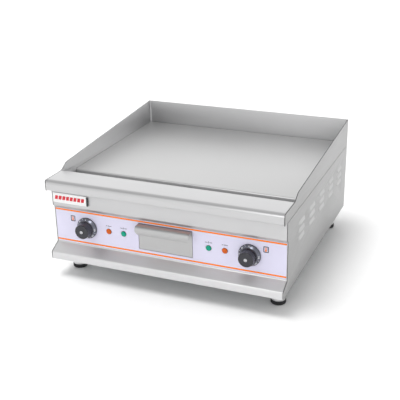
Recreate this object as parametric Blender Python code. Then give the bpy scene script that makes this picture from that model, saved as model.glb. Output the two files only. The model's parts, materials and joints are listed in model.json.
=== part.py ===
"""Countertop electric griddle with a flat steel plate, two heating zones and a grease drawer.

Metres, +Z up. The front faces -Y and the floor is z = 0. Lengths in the y direction are written
from the plane of the front nose; the helper `placed` moves them to the part's own frame, whose
origin is the centre of the bounding box on the floor.
"""

import math

import bmesh
import bpy
from mathutils import Vector

# ---------------------------------------------------------------- driving dimensions
WIDTH = 0.600            # outside faces of the two splash guards
DEPTH = 0.575            # nose to back panel
GLAND_REACH = 0.020      # how far the cable gland stands out behind
OVERALL_DEPTH = DEPTH + GLAND_REACH
FIT = 0.0003             # gap between touching pieces
CUT = 0.010              # how far a cutter runs past the wall it opens
SHEET = 0.0012           # casing sheet
GUARD_SHEET = 0.0020     # splash guards and back splash
DECK_SHEET = 0.0015      # front nose

# heights
BODY_BOTTOM = 0.050      # underside of the casing above the floor
LIP_TOP = 0.0683         # where the flared skirt meets its upright lip
FLARE_TOP = 0.0835       # where the skirt meets the control face
CONTROL_Z = 0.133        # line of the knobs and lamps
CONTROL_TOP = 0.1779     # where the control face meets the slanted return
FASCIA_BOTTOM = 0.1841
SEAM_Z = 0.229           # top of the casing, where the cooking top sits on it
TOP_BOTTOM = 0.230       # lower edge of the guards
PLATE_TOP = 0.2393
PLATE_THICK = 0.010
FASCIA_TOP = 0.250       # upper edge of the front panel, hidden behind the nose
DECK_Z = 0.257           # flat deck in front of the plate
SPLASH_TOP = 0.3035

# depths
FASCIA_Y = 0.0245        # plain strip under the nose
CONTROL_Y = 0.0310       # control face, set back from the fascia
DECK_BACK = 0.075
DRAIN_Y = 0.110
PLATE_FRONT = 0.137

# places
LAMP_XS = {"power": 0.110, "heat": 0.150}
KNOB_X = 0.210
FOOT_X = 0.266
FOOT_YS = {"front": 0.074, "rear": 0.530}
GLAND_AT = (-0.200, 0.090)
BOND_AT = (-0.150, 0.080)
SCREWS_AT = [(x, z) for x in (-0.2915, 0.2915) for z in (0.072, 0.214)]
SIDES = {"left": -1, "right": 1}

# grease drawer
DRAWER_HALF = 0.069
DRAWER_LOW = 0.101
DRAWER_TOP = 0.1672
BOX_HALF = 0.064
BOX_BACK = 0.330
BOX_TOP = 0.155

# louvres pressed out of the side panels
LOUVRE_YS = [0.131 + 0.090 * i for i in range(5)]
LOUVRE_ZS = [0.1915, 0.1725, 0.1535]
LOUVRE_LONG = 0.050
LOUVRE_OUT = 0.003

# bores
DRAIN_BORE = 0.0125
SHAFT_HOLE = 0.0050
LAMP_HOLE = 0.0050
SHAFT_BORE = 0.0034
FOOT_BORE = 0.0056
GLAND_THREAD = 0.0100
STUD_RADIUS = 0.0030
SCREW_SHANK = 0.0018
CLEAR = 0.0005           # clearance of a screw or stud in its hole, besides FIT

ROUND = 16               # sides of small turned pieces
KNOB_ROUND = 24

INNER_HALF = WIDTH / 2 - GUARD_SHEET - FIT      # half length of what lies between the guards
SKIN_IN = WIDTH / 2 - SHEET                     # inner face of a side panel
UNDER_PLATE = PLATE_TOP - PLATE_THICK - FIT
TROUGH_FLOOR = 0.214
ROD = 0.0042                                    # radius of a heating element
ROD_Z = UNDER_PLATE - FIT - ROD                 # its centre line under the plate
PAN_LOW = BODY_BOTTOM + SHEET + FIT             # base pan, on the side panels' flanges
PAN_TOP = PAN_LOW + SHEET + FIT                 # where guides and terminal block stand
BACK_IN = DEPTH - SHEET                         # inner face of the back panel
BACK_SEAT = DEPTH + FIT                         # where heads and nuts bear behind it
FILM_FACE = CONTROL_Y - FIT - 0.0005            # printed face of the control film

# ---------------------------------------------------------------- scene and finishes
for old in list(bpy.data.objects):
    bpy.data.objects.remove(old, do_unlink=True)


def finish(name, colour, roughness, metallic):
    made = bpy.data.materials.new(name)
    made.use_nodes = True
    shader = made.node_tree.nodes["Principled BSDF"]
    shader.inputs["Base Color"].default_value = (*colour, 1)
    shader.inputs["Roughness"].default_value = roughness
    shader.inputs["Metallic"].default_value = metallic
    return made


STAINLESS = finish("stainless", (0.74, 0.74, 0.74), 0.35, 1.0)
PLATE_STEEL = finish("plate_steel", (0.70, 0.70, 0.70), 0.30, 1.0)
GALVANISED = finish("galvanised", (0.55, 0.57, 0.58), 0.50, 1.0)
FILM = finish("control_film", (0.86, 0.85, 0.93), 0.35, 0.0)
BADGE = finish("badge", (0.92, 0.92, 0.92), 0.30, 0.0)
BAKELITE = finish("bakelite", (0.03, 0.03, 0.04), 0.35, 0.0)
CHROME = finish("chrome", (0.80, 0.80, 0.80), 0.15, 1.0)
ORANGE = finish("orange_lens", (0.85, 0.25, 0.03), 0.20, 0.0)
GREEN = finish("green_lens", (0.02, 0.55, 0.38), 0.20, 0.0)
NYLON = finish("black_nylon", (0.04, 0.04, 0.04), 0.55, 0.0)
RUBBER = finish("rubber", (0.03, 0.03, 0.03), 0.80, 0.0)
SHEATH = finish("element_sheath", (0.30, 0.28, 0.26), 0.50, 1.0)
FIBRE = finish("ceramic_fibre", (0.88, 0.87, 0.83), 0.95, 0.0)
PORCELAIN = finish("thermostat_case", (0.80, 0.78, 0.70), 0.50, 0.0)
COPPER = finish("copper", (0.72, 0.42, 0.28), 0.35, 1.0)
BRASS = finish("brass", (0.72, 0.58, 0.30), 0.30, 1.0)
WIRE = finish("wire_sleeve", (0.12, 0.12, 0.12), 0.70, 0.0)


# ---------------------------------------------------------------- modelling helpers
def placed(x, y, z):
    """A point with y from the nose plane, moved to the part's own frame."""
    return Vector((x, y - OVERALL_DEPTH / 2, z))


def linked(name, data, coat, origin):
    made = bpy.data.objects.new(name, data)
    made.data.materials.append(coat)
    made.location = placed(*origin)
    bpy.context.scene.collection.objects.link(made)
    return made


def from_bmesh(name, shape, coat, origin=(0, 0, 0), smooth=True):
    bmesh.ops.recalc_face_normals(shape, faces=shape.faces)
    mesh = bpy.data.meshes.new(name)
    shape.to_mesh(mesh)
    shape.free()
    if smooth:
        mesh.shade_smooth()
        mesh.set_sharp_from_angle(angle=math.radians(35))
    return linked(name, mesh, coat, origin)


def arc(centre, radius, start, end, steps):
    """Points on an arc, angles in degrees, both ends included."""
    angles = [math.radians(start + (end - start) * i / steps) for i in range(steps + 1)]
    return [(centre[0] + radius * math.cos(a), centre[1] + radius * math.sin(a)) for a in angles]


def thickened(path, thickness):
    """A closed outline from an open path and its mitred offset to the right of its direction."""
    points = [Vector(p) for p in path]
    ways = [(b - a).normalized() for a, b in zip(points, points[1:])]
    rights = [Vector((w.y, -w.x)) for w in ways]
    offset = []
    for i, point in enumerate(points):
        before, after = rights[max(i - 1, 0)], rights[min(i, len(rights) - 1)]
        middle = (before + after).normalized()
        offset.append(point + middle * (thickness / middle.dot(before)))
    return [tuple(p) for p in points + offset[::-1]]


def fillet(before, corner, after, radius, steps=3):
    """Points on the arc that rounds the corner between two straight lines."""
    corner = Vector(corner)
    back, onward = (Vector(before) - corner).normalized(), (Vector(after) - corner).normalized()
    half = back.angle(onward) / 2
    centre = corner + (back + onward).normalized() * (radius / math.sin(half))
    reach = radius / math.tan(half)
    start, end = (corner + back * reach - centre), (corner + onward * reach - centre)
    ways = [start.normalized().slerp(end.normalized(), i / steps) for i in range(steps + 1)]
    return [tuple(centre + way * radius) for way in ways]


def rounded_path(corners, radii, steps=3):
    """An open path through the corners, its inner corners rounded to these radii."""
    path = [corners[0]]
    for before, corner, after, radius in zip(corners, corners[1:], corners[2:], radii):
        path += fillet(before, corner, after, radius, steps)
    return [*path, corners[-1]]


def on_axis(axis, along, a, b):
    """The corner at `along` on that axis, with a and b on the two other axes in X, Y, Z order."""
    return {"X": (along, a, b), "Y": (a, along, b), "Z": (a, b, along)}[axis]


def add_prism(shape, outline, axis, low, high):
    ends = [[shape.verts.new(on_axis(axis, end, a, b)) for a, b in outline] for end in (low, high)]
    count = len(outline)
    faces = [shape.faces.new(ends[0]), shape.faces.new(ends[1][::-1])]
    for i in range(count):
        j = (i + 1) % count
        faces.append(shape.faces.new((ends[0][i], ends[0][j], ends[1][j], ends[1][i])))
    return faces


def prism(name, outline, axis, low, high, coat, origin=(0, 0, 0)):
    shape = bmesh.new()
    add_prism(shape, outline, axis, min(low, high), max(low, high))
    return from_bmesh(name, shape, coat, origin)


def rectangle(a0, b0, a1, b1):
    return [(a0, b0), (a1, b0), (a1, b1), (a0, b1)]


def add_box(shape, low, high):
    add_prism(shape, rectangle(low[0], low[1], high[0], high[1]), "Z", low[2], high[2])


def boxes(name, corners, coat=STAINLESS, origin=(0, 0, 0)):
    """One object holding a box for each (low corner, high corner)."""
    shape = bmesh.new()
    for a, b in corners:
        low, high = [min(p) for p in zip(a, b)], [max(p) for p in zip(a, b)]
        add_box(shape, low, high)
    return from_bmesh(name, shape, coat, origin, smooth=False)


def block(name, low, high, coat=STAINLESS):
    return boxes(name, [(low, high)], coat)


def add_turned(shape, profile, axis, centre, sides):
    """Revolves (radius, height) points about a line through centre; radius 0 is a point on it."""
    rings = []
    for radius, height in profile:
        ring = []
        for i in range(sides if radius else 1):
            turn = 2 * math.pi * i / sides
            across, up = radius * math.cos(turn), radius * math.sin(turn)
            ring.append(shape.verts.new(Vector(on_axis(axis, height, across, up)) + Vector(centre)))
        rings.append(ring)
    closed = profile[0][0] and profile[-1][0]
    pairs = zip(rings, rings[1:] + rings[:1]) if closed else zip(rings, rings[1:])
    for a, b in pairs:
        for i in range(sides):
            j = (i + 1) % sides
            corners = [a[i % len(a)], a[j % len(a)], b[j % len(b)], b[i % len(b)]]
            distinct = list(dict.fromkeys(corners))
            if len(distinct) > 2:
                shape.faces.new(distinct)


def turned(name, profile, axis, coat, origin=(0, 0, 0), sides=ROUND):
    shape = bmesh.new()
    add_turned(shape, profile, axis, (0, 0, 0), sides)
    return from_bmesh(name, shape, coat, origin)


def rods(name, centres, radius, axis, low, high, sides=ROUND):
    """Cylinders along an axis at each (a, b) centre, in one object, for cutting or joining."""
    shape = bmesh.new()
    for a, b in centres:
        centre = on_axis(axis, 0, a, b)
        add_turned(shape, [(0, low), (radius, low), (radius, high), (0, high)], axis, centre, sides)
    return from_bmesh(name, shape, STAINLESS)


def combine(target, tool, operation):
    """A Boolean with a hidden tool, which becomes a helper and not a node."""
    tool.hide_render = True
    tool.display_type = "WIRE"
    step = target.modifiers.new(f"{operation.lower()}_{tool.name}", "BOOLEAN")
    step.operation = operation
    step.object = tool
    step.solver = "EXACT"


def cut(target, *tools):
    for tool in tools:
        combine(target, tool, "DIFFERENCE")


def join(target, *tools):
    for tool in tools:
        combine(target, tool, "UNION")


def smooth_route(points, per_span):
    """Catmull-Rom points through the given ones."""
    guide = [Vector(p) for p in points]
    guide = [2 * guide[0] - guide[1], *guide, 2 * guide[-1] - guide[-2]]
    route = []
    for p0, p1, p2, p3 in zip(guide, guide[1:], guide[2:], guide[3:]):
        for i in range(per_span):
            t = i / per_span
            route.append(0.5 * (2 * p1 + (p2 - p0) * t + (2 * p0 - 5 * p1 + 4 * p2 - p3) * t * t
                                + (3 * p1 - p0 - 3 * p2 + p3) * t ** 3))
    return [*route, guide[-2]]


def tube(name, route, radius, coat, resolution=2, radii=None):
    """A round rod along a route; radii scales the section at each point."""
    curve = bpy.data.curves.new(name, "CURVE")
    curve.dimensions = "3D"
    curve.bevel_depth = radius
    curve.bevel_resolution = resolution
    curve.use_fill_caps = True
    spline = curve.splines.new("POLY")
    spline.points.add(len(route) - 1)
    for i, (point, at) in enumerate(zip(spline.points, route)):
        point.co = (*at, 1)
        point.radius = radii[i] if radii else 1
    return linked(name, curve, coat, (0, 0, 0))


# ---------------------------------------------------------------- cooking top
def cooking_plate():
    bottom, back, edge_round = PLATE_TOP - PLATE_THICK, DEPTH - GUARD_SHEET - 2 * FIT, 0.004
    outline = [(back, bottom), (back, PLATE_TOP)]
    outline += arc((PLATE_FRONT + edge_round, PLATE_TOP - edge_round), edge_round, 90, 180, 6)
    outline += [(PLATE_FRONT, bottom)]
    prism("griddle_plate", outline, "X", -INNER_HALF, INNER_HALF, PLATE_STEEL)


def splash_guards():
    """Side sheets that close the nose's ends, step up behind the deck and slope up to the back."""
    nose, foot, shoulder, back = (0, DECK_Z), (0.0744, DECK_Z), (0.0988, 0.2712), (DEPTH, SPLASH_TOP)
    outline = [(0, TOP_BOTTOM), (DEPTH, TOP_BOTTOM)]
    outline += rounded_path([back, shoulder, foot, nose, (0, TOP_BOTTOM)], [0.020, 0.008, 0.004])[:-1]
    for side, sign in SIDES.items():
        inner, outer = sign * (WIDTH / 2 - GUARD_SHEET), sign * WIDTH / 2
        prism(f"splash_guard_{side}", outline, "X", inner, outer, STAINLESS)


def back_splash():
    outline = rectangle(DEPTH - GUARD_SHEET, TOP_BOTTOM, DEPTH, SPLASH_TOP)
    prism("back_splash", outline, "X", -INNER_HALF, INNER_HALF, STAINLESS)


def front_nose():
    """Bent sheet: return under the nose, bullnose, flat deck and the drop behind it."""
    bullnose, tight, drop_bottom = 0.012, 0.002, 0.2385
    bottom = TOP_BOTTOM + 0.001
    path = [(FASCIA_Y - FIT, bottom)]
    path += arc((tight, bottom + tight), tight, 270, 180, 3)
    path += arc((bullnose, DECK_Z - bullnose), bullnose, 180, 90, 7)
    path += arc((DECK_BACK - tight, DECK_Z - tight), tight, 90, 0, 3)
    path += [(DECK_BACK, drop_bottom)]
    prism("front_nose_deck", thickened(path, DECK_SHEET), "X", -INNER_HALF, INNER_HALF, STAINLESS)


def grease_trough():
    """Open tray in front of the plate; its rear wall stands under the plate's front edge."""
    front, back, top = DECK_BACK + 2 * FIT, PLATE_FRONT + 0.007, DECK_Z - 0.010
    tray = block("grease_trough", (-INNER_HALF, front, TROUGH_FLOOR), (INNER_HALF, back, top))
    hollow = block("trough_hollow", (SHEET - INNER_HALF, front + SHEET, TROUGH_FLOOR + SHEET),
                   (INNER_HALF - SHEET, back - SHEET, top + CUT))
    over_plate = block("trough_over_plate", (-INNER_HALF - CUT, PLATE_FRONT - 0.001, UNDER_PLATE),
                       (INNER_HALF + CUT, back + CUT, top + CUT))
    drain = rods("trough_drain", [(0, DRAIN_Y)], DRAIN_BORE, "Z", TROUGH_FLOOR - CUT, TROUGH_FLOOR + CUT)
    cut(tray, hollow, over_plate, drain)


def drain_spout():
    """Flanged tube under the trough's drain hole, over the drawer."""
    top, flange, outside, bottom = TROUGH_FLOOR - FIT, 0.024, DRAIN_BORE + 0.0013, 0.160
    neck = top - SHEET - 0.002
    profile = [(DRAIN_BORE, top), (flange, top), (flange, top - SHEET), (outside, neck), (outside, bottom),
               (DRAIN_BORE, bottom)]
    turned("drain_spout", profile, "Z", STAINLESS, (0, DRAIN_Y, 0))


# ---------------------------------------------------------------- heating
HEAT_FRONT, HEAT_BACK = 0.190, 0.556         # depth of the insulated zone
HEAT_HALF = 0.280
BLANKET_LOW, BLANKET_TOP = 0.1875, 0.2166


def heating_elements():
    """One serpentine sheathed rod for each zone, its cold ends turned down at the front."""
    pitch, first, runs = 0.045, 0.040, 6
    front, back = HEAT_FRONT, HEAT_BACK - 0.031
    bend, end_bend, end_drop = pitch / 2, 0.009, 0.035
    last = first + pitch * (runs - 1)
    drop = arc((front - 0.012, -end_bend), end_bend, 90, 180, 3) + [(front - 0.012 - end_bend, -end_drop)]
    for side, sign in SIDES.items():
        flat = []
        for run in range(runs - 1):
            x = first + pitch * run + bend
            flat += arc((x, back), bend, 180, 0, 6) if run % 2 == 0 else arc((x, front), bend, 180, 360, 6)
        route = [(first, y, ROD_Z + z) for y, z in reversed(drop)]
        route += [(x, y, ROD_Z) for x, y in flat]
        route += [(last, y, ROD_Z + z) for y, z in drop]
        tube(f"heating_element_{side}", [(sign * x, y, z) for x, y, z in route], ROD, SHEATH, 1)


def element_clamps():
    """Bars across both zones that press the rods against the plate."""
    half_wide, top = 0.015, ROD_Z - ROD - FIT
    for place, y in (("front", 0.255), ("rear", 0.460)):
        low, high = (-HEAT_HALF, y - half_wide, BLANKET_TOP + FIT), (HEAT_HALF, y + half_wide, top)
        block(f"element_clamp_{place}", low, high, GALVANISED)


def insulation():
    """Ceramic-fibre blanket in a shallow galvanised tray."""
    block("insulation_blanket", (-HEAT_HALF, HEAT_FRONT, BLANKET_LOW),
          (HEAT_HALF, HEAT_BACK, BLANKET_TOP), FIBRE)
    around = 0.0018
    wall = around + SHEET
    tray = block("insulation_tray", (-HEAT_HALF - wall, HEAT_FRONT - wall, BLANKET_LOW - FIT - SHEET),
                 (HEAT_HALF + wall, HEAT_BACK + wall, BLANKET_TOP - 0.0006), GALVANISED)
    cut(tray, block("insulation_tray_hollow", (-HEAT_HALF - around, HEAT_FRONT - around, BLANKET_LOW - FIT),
                    (HEAT_HALF + around, HEAT_BACK + around, BLANKET_TOP + CUT)))


def thermostats():
    """Capillary thermostats behind the control face, each with a bulb under its own zone."""
    front, back, half = CONTROL_Y + SHEET + FIT, 0.058, (0.022, 0.020)
    tab_x, tab_half, tab_low, tab_back = 0.012, 0.0035, CONTROL_Z - 0.014, 0.066
    capillary, bulb_radius, bulb_x, bulb_z = 0.4, 0.0026, 0.0625, 0.2262
    for side, sign in SIDES.items():
        x = sign * KNOB_X
        case = block(f"thermostat_body_{side}", (x - half[0], front, CONTROL_Z - half[1]),
                     (x + half[0], back, CONTROL_Z + half[1]), PORCELAIN)
        tabs = boxes(f"thermostat_tabs_{side}", [
            ((x + dx - tab_half, back - 0.001, tab_low), (x + dx + tab_half, tab_back, tab_low + 0.001))
            for dx in (-tab_x, tab_x)])
        bore = rods(f"thermostat_bore_{side}", [(x, CONTROL_Z)], SHAFT_BORE, "Y", front - CUT, 0.048)
        join(case, tabs)
        cut(case, bore)
        way = smooth_route([(x, back + FIT, CONTROL_Z + 0.012), (x, 0.072, CONTROL_Z + 0.016),
                            (sign * 0.160, 0.110, 0.180), (sign * 0.085, 0.150, 0.196),
                            (sign * bulb_x, 0.164, 0.210), (sign * bulb_x, 0.185, 0.2245),
                            (sign * bulb_x, 0.260, bulb_z), (sign * bulb_x, 0.300, bulb_z)], 4)
        bulb = [(sign * bulb_x, y, bulb_z) for y in (0.301, 0.303, 0.385, 0.388)]
        widths = [capillary] * len(way) + [capillary, 1, 1, capillary]
        tube(f"thermostat_probe_{side}", way + bulb, bulb_radius, COPPER, 1, widths)


# ---------------------------------------------------------------- casing
FRONT_PATH = rounded_path([(FASCIA_Y, FASCIA_TOP), (FASCIA_Y, FASCIA_BOTTOM), (CONTROL_Y, CONTROL_TOP),
                           (CONTROL_Y, FLARE_TOP), (0, LIP_TOP), (0, BODY_BOTTOM)],
                          [0.005, 0.005, 0.004, 0.0045])


def front_panel():
    """Fascia, set-back control face and flared skirt in one bent sheet; gives back its cutters."""
    low, high, gap = CONTROL_Y - CUT, CONTROL_Y + CUT, 0.001
    path = FRONT_PATH + [(0.020, BODY_BOTTOM)]
    panel = prism("front_panel", thickened(path[::-1], SHEET), "X", -INNER_HALF, INNER_HALF, STAINLESS)
    window = block("drawer_window", (-DRAWER_HALF - gap, low, DRAWER_LOW - gap),
                   (DRAWER_HALF + gap, high, DRAWER_TOP + gap))
    shaft_places = [(sign * KNOB_X, CONTROL_Z) for sign in SIDES.values()]
    shafts = rods("shaft_holes", shaft_places, SHAFT_HOLE, "Y", low, high)
    lamps = rods("lamp_holes", [(sign * x, CONTROL_Z) for sign in SIDES.values() for x in LAMP_XS.values()],
                 LAMP_HOLE, "Y", low, high)
    cut(panel, window, shafts, lamps)
    return window, shafts, lamps


def control_overlay(holes):
    half, low, high = 0.2965, 0.0870, 0.1760
    cut(block("control_overlay", (-half, FILM_FACE, low), (half, CONTROL_Y - FIT, high), FILM), *holes)


def name_badge():
    """Blank plate at the left of the fascia."""
    centre, half_wide, half_high, thick = (-0.247, 0.206), 0.0485, 0.0125, 0.0025
    x, z = centre
    outline = rectangle(x - half_wide, z - half_high, x + half_wide, z + half_high)
    prism("name_badge", outline, "Y", FASCIA_Y - FIT - thick, FASCIA_Y - FIT, BADGE)


def louvres(name, sign, section, half):
    """The (out, up) section about each louvre's centre line, run to `half` each way along it."""
    shape = bmesh.new()
    for y in LOUVRE_YS:
        for z in LOUVRE_ZS:
            outline = [(sign * (WIDTH / 2 + out), z + up) for out, up in section]
            add_prism(shape, outline, "Y", y - half, y + half)
    return from_bmesh(name, shape, STAINLESS, smooth=False)


HOOD = [(-0.0006, 0.0050), (0, 0.0050), (LOUVRE_OUT * 0.55, 0.0022), (LOUVRE_OUT, -0.0030),
        (LOUVRE_OUT, -0.0045), (-0.0006, -0.0045)]
HOOD_HOLLOW = [(-0.003, -0.0045), (-0.003, 0.0030), (0, 0.0030), (LOUVRE_OUT - 0.001, -0.0040),
               (LOUVRE_OUT - 0.001, -0.0070), (0.0001, -0.0070), (0.0001, -0.0045)]


def side_panels(screw_holes):
    """Louvred skins whose front edge follows the front panel, with inward flanges."""
    outline = [(FASCIA_Y, SEAM_Z), *FRONT_PATH[1:], (DEPTH, BODY_BOTTOM), (DEPTH, SEAM_Z)]
    back_high = BACK_IN - FIT
    back_low = back_high - SHEET
    flange_back = back_low - 0.0005
    for side, sign in SIDES.items():
        bite = sign * (SKIN_IN + SHEET / 2)
        skin = prism(f"side_panel_{side}", outline, "X", sign * SKIN_IN, sign * WIDTH / 2, STAINLESS)
        flanges = [
            block(f"bottom_flange_{side}", (sign * 0.286, 0.0215, BODY_BOTTOM),
                  (bite, flange_back, BODY_BOTTOM + SHEET)),
            block(f"top_flange_{side}", (sign * 0.285, 0.150, SEAM_Z - SHEET), (bite, flange_back, SEAM_Z)),
            block(f"back_flange_{side}", (sign * 0.284, back_low, 0.0535), (bite, back_high, 0.2270))]
        join(skin, *flanges, louvres(f"louvre_hoods_{side}", sign, HOOD, LOUVRE_LONG / 2))
        cut(skin, louvres(f"louvre_slots_{side}", sign, HOOD_HOLLOW, LOUVRE_LONG / 2 - 0.001), screw_holes)


def back_panel(screw_holes):
    """Flat cover with vent slots and the holes for gland and bonding stud."""
    half, slot_half, slot_low, slot_high = 0.2983, 0.0025, 0.165, 0.205
    low, high = DEPTH - CUT, DEPTH + CUT
    panel = block("back_panel", (-half, BACK_IN, BODY_BOTTOM + 0.0005), (half, DEPTH, SEAM_Z))
    slots = boxes("back_vents", [((x - slot_half, low, slot_low), (x + slot_half, high, slot_high))
                                 for x in [0.020 * i for i in range(-5, 6)]])
    gland = rods("gland_hole", [GLAND_AT], GLAND_THREAD + FIT, "Y", low, high)
    bond = rods("bond_hole", [BOND_AT], STUD_RADIUS + FIT, "Y", low, high, 12)
    cut(panel, slots, gland, bond, screw_holes)


def base_pan():
    """Floor of the casing with a weld nut for each foot and vent slots under the controls."""
    nut, nut_top, slot_half = 0.0090, 0.0112, (0.003, 0.020)
    low, high = PAN_LOW, PAN_LOW + SHEET
    feet = [(sign * FOOT_X, y) for sign in SIDES.values() for y in FOOT_YS.values()]
    pan = block("base_pan", (-0.2982, 0.0020, low), (0.2982, 0.5718, high), GALVANISED)
    nuts = rods("weld_nuts", feet, nut, "Z", low + SHEET / 2, low + nut_top, 6)
    bores = rods("weld_nut_bores", feet, FOOT_BORE, "Z", low - CUT, low + nut_top + CUT)
    vent_xs = [sign * (0.140 + 0.025 * i) for sign in SIDES.values() for i in range(3)]
    vents = boxes("base_vents", [
        ((x - slot_half[0], y - slot_half[1], low - CUT), (x + slot_half[0], y + slot_half[1], high + CUT))
        for x in vent_xs for y in (0.120, 0.400)])
    join(pan, nuts)
    cut(pan, bores, vents)


def back_screws():
    """Pan-head screws at the corners of the back panel."""
    long, head, proud = 0.009, 0.0040, 0.0022
    profile = [(0, BACK_SEAT - long), (SCREW_SHANK, BACK_SEAT - long + 0.001), (SCREW_SHANK, BACK_SEAT),
               (head, BACK_SEAT), (head * 0.90, BACK_SEAT + proud * 0.55),
               (head * 0.55, BACK_SEAT + proud * 0.9), (0, BACK_SEAT + proud)]
    for i, (x, z) in enumerate(SCREWS_AT):
        turned(f"back_screw_{i + 1}", profile, "Y", CHROME, (x, 0, z), 12)


# ---------------------------------------------------------------- knobs and lamps
def knobs():
    """Bakelite dial knobs: a bevelled skirt, a tall grip and a bright cap, on a steel shaft."""
    back, front, face = FILM_FACE - 0.0006, 0.0010, 0.0045
    dial, dial_top, grip, grip_end = 0.0270, 0.0205, 0.0192, 0.0170
    recess, bore_end = 0.0022, 0.0120
    profile = [(0, bore_end), (SHAFT_BORE, bore_end), (SHAFT_BORE, back), (dial, back), (dial, back - 0.0026),
               (dial_top, back - 0.0072), (grip, back - 0.0078), (0.0182, 0.0030), (grip_end, 0.0012),
               (face, front), (face, recess), (0, recess)]
    cap_back, cap_front = recess - FIT, 0.0002
    cap = [(0, cap_back), (0.0042, cap_back), (0.0042, 0.0008), (0.0036, 0.0004), (0, cap_front)]
    shaft_front, shaft_back, shaft_radius = bore_end + FIT, 0.0470, 0.0030
    shaft = [(0, shaft_front), (shaft_radius, shaft_front), (shaft_radius, shaft_back), (0, shaft_back)]
    for side, sign in SIDES.items():
        at = (sign * KNOB_X, 0, CONTROL_Z)
        turned(f"knob_{side}", profile, "Y", BAKELITE, at, KNOB_ROUND)
        turned(f"knob_cap_{side}", cap, "Y", CHROME, at)
        turned(f"thermostat_shaft_{side}", shaft, "Y", CHROME, at)


def lamps():
    """Pilot lamps: a flanged lens whose stem goes through the panel into a housing behind it."""
    flange, rim, stem, stem_back = FILM_FACE - FIT, 0.0066, 0.0046, 0.0360
    lens = [(0, flange - 0.0036), (0.0035, flange - 0.0032), (0.0058, flange - 0.0020),
            (rim, flange - 0.0008), (rim, flange), (stem, flange), (stem, stem_back), (0, stem_back)]
    seat, mouth, barrel, barrel_back = CONTROL_Y + SHEET + FIT, 0.0050, 0.0072, 0.0500
    floor, tail = stem_back + 0.001, barrel_back + 0.002
    housing = [(0, floor), (mouth, floor), (mouth, seat), (barrel, seat), (barrel, barrel_back),
               (0.0045, tail), (0, tail)]
    for side, sign in SIDES.items():
        for kind, x in LAMP_XS.items():
            at = (sign * x, 0, CONTROL_Z)
            turned(f"{kind}_lamp_lens_{side}", lens, "Y", GREEN if kind == "power" else ORANGE, at)
            turned(f"{kind}_lamp_housing_{side}", housing, "Y", NYLON, at)


# ---------------------------------------------------------------- grease drawer
BOX_LOW = DRAWER_LOW + 0.0017                # underside of the drawer's box, above the front's lower edge
DRAWER_BACK = FILM_FACE + 0.0001 + SHEET     # back of the drawer's front, whose face is flush with the film


def drawer():
    """Open box behind a front whose top edge is rolled forward and down into a hooked pull."""
    reach, bend, sweep, curl, corner, top_bend = 0.0088, 0.008, 0.027, 29, 0.010, 0.0015
    path = [(DRAWER_BACK, DRAWER_LOW)]
    path += fillet((DRAWER_BACK, DRAWER_LOW), (DRAWER_BACK, DRAWER_TOP), (0, DRAWER_TOP), top_bend)
    path += arc((reach + bend, DRAWER_TOP - bend), bend, 90, 180, 6)
    path += arc((reach + sweep, DRAWER_TOP - bend), sweep, 180, 180 + curl, 5)[1:]
    front = prism("drawer_front", thickened(path[::-1], SHEET), "X", -DRAWER_HALF, DRAWER_HALF, STAINLESS)
    lip, past, edge = path[-1][1], 0.001, DRAWER_HALF - corner
    for side, sign in SIDES.items():
        piece = [(edge, lip - past), (DRAWER_HALF + past, lip - past), (DRAWER_HALF + past, lip + corner)]
        piece += arc((edge, lip + corner), corner, 0, -90, 5)
        cut(front, prism(f"pull_corner_{side}", [(sign * x, z) for x, z in piece], "Y", 0, 0.028, STAINLESS))
    low, wall = (-BOX_HALF, DRAWER_BACK + FIT, BOX_LOW), 0.001
    box = block("drawer_box", low, (BOX_HALF, BOX_BACK, BOX_TOP))
    cut(box, block("drawer_hollow", (low[0] + wall, low[1] + wall, low[2] + wall),
                   (BOX_HALF - wall, BOX_BACK - wall, BOX_TOP + CUT)))


def drawer_guides():
    """Folded rails on the base pan, each with a shelf under the drawer and an end stop."""
    shelf, web_top, front, stop = BOX_LOW - FIT, 0.125, 0.034, BOX_BACK + 0.001
    web_in, foot_out, shelf_in = BOX_HALF + 0.0025, 0.086, 0.052
    web_out = web_in + SHEET
    for side, sign in SIDES.items():
        outline = [(web_in, PAN_TOP), (foot_out, PAN_TOP), (foot_out, PAN_TOP + SHEET),
                   (web_out, PAN_TOP + SHEET), (web_out, web_top), (web_in, web_top), (web_in, shelf),
                   (shelf_in, shelf), (shelf_in, shelf - SHEET), (web_in, shelf - SHEET)]
        outline = [(sign * x, z) for x, z in outline]
        rail = prism(f"drawer_guide_{side}", outline, "Y", front, stop + SHEET, GALVANISED)
        end = block(f"drawer_stop_{side}", (sign * (shelf_in - 0.002), stop, shelf - SHEET / 2),
                    (sign * (web_in + SHEET / 2), stop + SHEET, web_top - 0.003))
        join(rail, end)


# ---------------------------------------------------------------- feet
def feet():
    """Levelling feet: a steel sleeve and threaded stud that turn in a rubber pad."""
    pad_top, well, well_floor = 0.0090, 0.0060, 0.0030
    pad = [(0, 0), (0.0165, 0), (0.0180, 0.0015), (0.0183, 0.0060), (0.0176, pad_top), (well, pad_top),
           (well, well_floor), (0, well_floor)]
    sleeve, sleeve_low, sleeve_top = 0.0168, pad_top + 0.0005, BODY_BOTTOM + 0.0009
    thread, tip = 0.0050, 0.0800
    inside = sleeve - 0.0014
    stud_low, under_top = well_floor + 0.0005, sleeve_top - SHEET
    stud = [(0, stud_low), (thread, stud_low), (thread, under_top), (inside, under_top), (inside, sleeve_low),
            (sleeve, sleeve_low), (sleeve, sleeve_top - 0.0010), (sleeve - 0.0008, sleeve_top),
            (thread, sleeve_top), (thread, tip - 0.001), (thread - 0.001, tip), (0, tip)]
    for side, sign in SIDES.items():
        for place, y in FOOT_YS.items():
            at = (sign * FOOT_X, y, 0)
            turned(f"foot_pad_{place}_{side}", pad, "Z", RUBBER, at)
            turned(f"foot_stud_{place}_{side}", stud, "Z", STAINLESS, at)


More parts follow.
